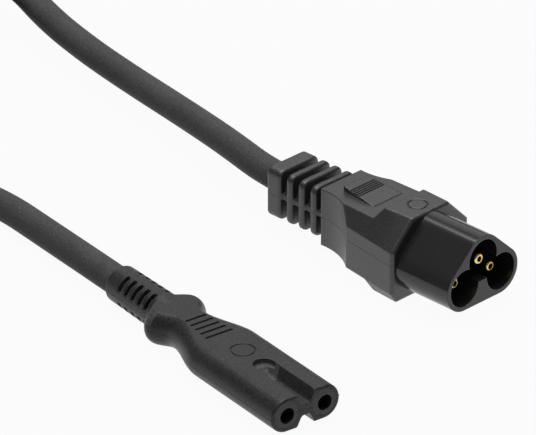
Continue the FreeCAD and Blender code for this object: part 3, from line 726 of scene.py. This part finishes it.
@dataclass
class CloverleafPlug:
    """The cloverleaf plug, dressed on its solids."""

    finishes: dict[str, MouldedFinish | MetalFinish] = field(default_factory=lambda: {
        "plug_overmould": RIBBED_MOULDING,
        "plug_shroud": HARD_SHROUD,
        "plug_line_pin": PIN_BRASS,
        "plug_neutral_pin": PIN_BRASS,
        "plug_earth_pin": PIN_BRASS,
        "plug_line_core": BROWN_CORE,
        "plug_neutral_core": BLUE_CORE,
        "plug_line_strands": COPPER,
        "plug_neutral_strands": COPPER,
    })

    def build(self, wardrobe: Wardrobe) -> None:
        """Dresses each solid.

        Args:
            wardrobe: Where the finishes come from.
        """
        for name, finish in self.finishes.items():
            wardrobe.dress(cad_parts[name], finish)


@dataclass(frozen=True)
class SoftBox:
    """A soft rectangular lamp, in metres and watts."""

    name: str
    place: Point
    aim: Point
    size: tuple[float, float]
    power: float

    def hang(self) -> None:
        """Makes the lamp and points it at its aim."""
        light = bpy.data.lights.new(self.name, "AREA")
        light.shape = "RECTANGLE"
        light.size, light.size_y = self.size
        light.energy = self.power
        lamp = bpy.data.objects.new(self.name, light)
        lamp.location = self.place
        facing = Vector(self.aim) - Vector(self.place)
        lamp.rotation_euler = facing.to_track_quat("-Z", "Y").to_euler()
        bpy.context.scene.collection.objects.link(lamp)
        LOG.info("%s hangs above the floor", self.name)


TOP_BOX = SoftBox("top_box", place=(-0.15, 0.1, 1.0), aim=(-0.05, 0.03, 0.0), size=(0.9, 0.9), power=10.0)
BACK_BOX = SoftBox("back_box", place=(-0.85, 0.72, 0.62), aim=(-0.02, 0.03, 0.0), size=(1.3, 0.7), power=1.8)


@dataclass
class Studio:
    """Plain white studio with soft light, and the camera at the photograph's angle."""

    azimuth: float = 54.0
    elevation: float = 28.0
    lens: float = 403.0
    sensor: float = 36.0
    clip: Span = (0.05, 50.0)
    distance: float = 1111.0
    anchor: Point = (30.0, 0.0, 4.0)
    aim_right: float = -7.04
    aim_up: float = 35.46
    surroundings: float = 0.15
    floor_reach: float = 6.0
    floor_level: float = -0.0002
    floor_grey: Colour = (0.35, 0.35, 0.35)
    floor_glow: float = 0.95
    lamps: tuple[SoftBox, ...] = (TOP_BOX, BACK_BOX)

    def build(self) -> None:
        """Makes the floor, the light and the camera."""
        self._floor()
        self._world()
        for lamp in self.lamps:
            lamp.hang()
        self._camera()

    def _floor(self) -> None:
        """Makes the white floor, which keeps a faint shadow."""
        mesh = bpy.data.meshes.new("floor")
        reach = self.floor_reach
        rim = [(-reach, -reach, 0), (reach, -reach, 0), (reach, reach, 0), (-reach, reach, 0)]
        mesh.from_pydata(rim, [], [(0, 1, 2, 3)])
        floor = bpy.data.objects.new("floor", mesh)
        floor.location.z = self.floor_level
        bpy.context.scene.collection.objects.link(floor)
        material = bpy.data.materials.new("white_floor")
        material.use_nodes = True
        graph = Graph(material.node_tree)
        matt = graph.add("BsdfDiffuse", Color=opaque(self.floor_grey))
        glow = graph.add("Emission", Color=opaque(WHITE), Strength=1.0)
        path = graph.add("LightPath")
        seen = graph.math("MULTIPLY", path.outputs["Is Camera Ray"], self.floor_glow)
        seen = graph.math("MAXIMUM", seen, path.outputs["Is Glossy Ray"])
        mixed = graph.add("MixShader")
        for socket, value in zip(mixed.inputs, (seen, matt.outputs[0], glow.outputs[0])):
            graph.feed(socket, value)
        graph.add("OutputMaterial", Surface=mixed.outputs[0])
        mesh.materials.append(material)

    def _world(self) -> None:
        """Makes the even, dim surroundings."""
        world = bpy.data.worlds.new("studio")
        bpy.context.scene.world = world
        world.use_nodes = True
        graph = Graph(world.node_tree)
        sky = graph.add("Background", Color=opaque(WHITE), Strength=self.surroundings)
        graph.add("OutputWorld", Surface=sky.outputs[0])

    def _camera(self) -> None:
        """Sets the camera up with the connector's front where the photograph has it."""
        turn, rise = math.radians(self.azimuth), math.radians(self.elevation)
        back = Vector((math.sin(turn) * math.cos(rise), -math.cos(turn) * math.cos(rise), math.sin(rise)))
        right = Vector((math.cos(turn), math.sin(turn), 0.0))
        up = back.cross(right)
        aim = (Vector(self.anchor) + right * self.aim_right + up * self.aim_up) * MM
        data = bpy.data.cameras.new("camera")
        data.lens = self.lens
        data.sensor_width = self.sensor
        data.clip_start, data.clip_end = self.clip
        camera = bpy.data.objects.new("camera", data)
        camera.location = aim + back * self.distance * MM
        camera.rotation_euler = (-back).to_track_quat("-Z", "Y").to_euler()
        bpy.context.scene.collection.objects.link(camera)
        bpy.context.scene.camera = camera


def main() -> None:
    """Builds the looks piece by piece."""
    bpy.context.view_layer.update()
    bpy.context.scene.view_settings.view_transform = "Standard"
    wardrobe = Wardrobe()
    FigureEightConnector().build(wardrobe)
    CloverleafPlug().build(wardrobe)
    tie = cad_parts["coil_tie"]
    wardrobe.dress(tie, TIE_BAND)
    Cord().build(wardrobe, tie)
    Studio().build()
    bpy.context.view_layer.update()


if __name__ == "__main__":
    main()
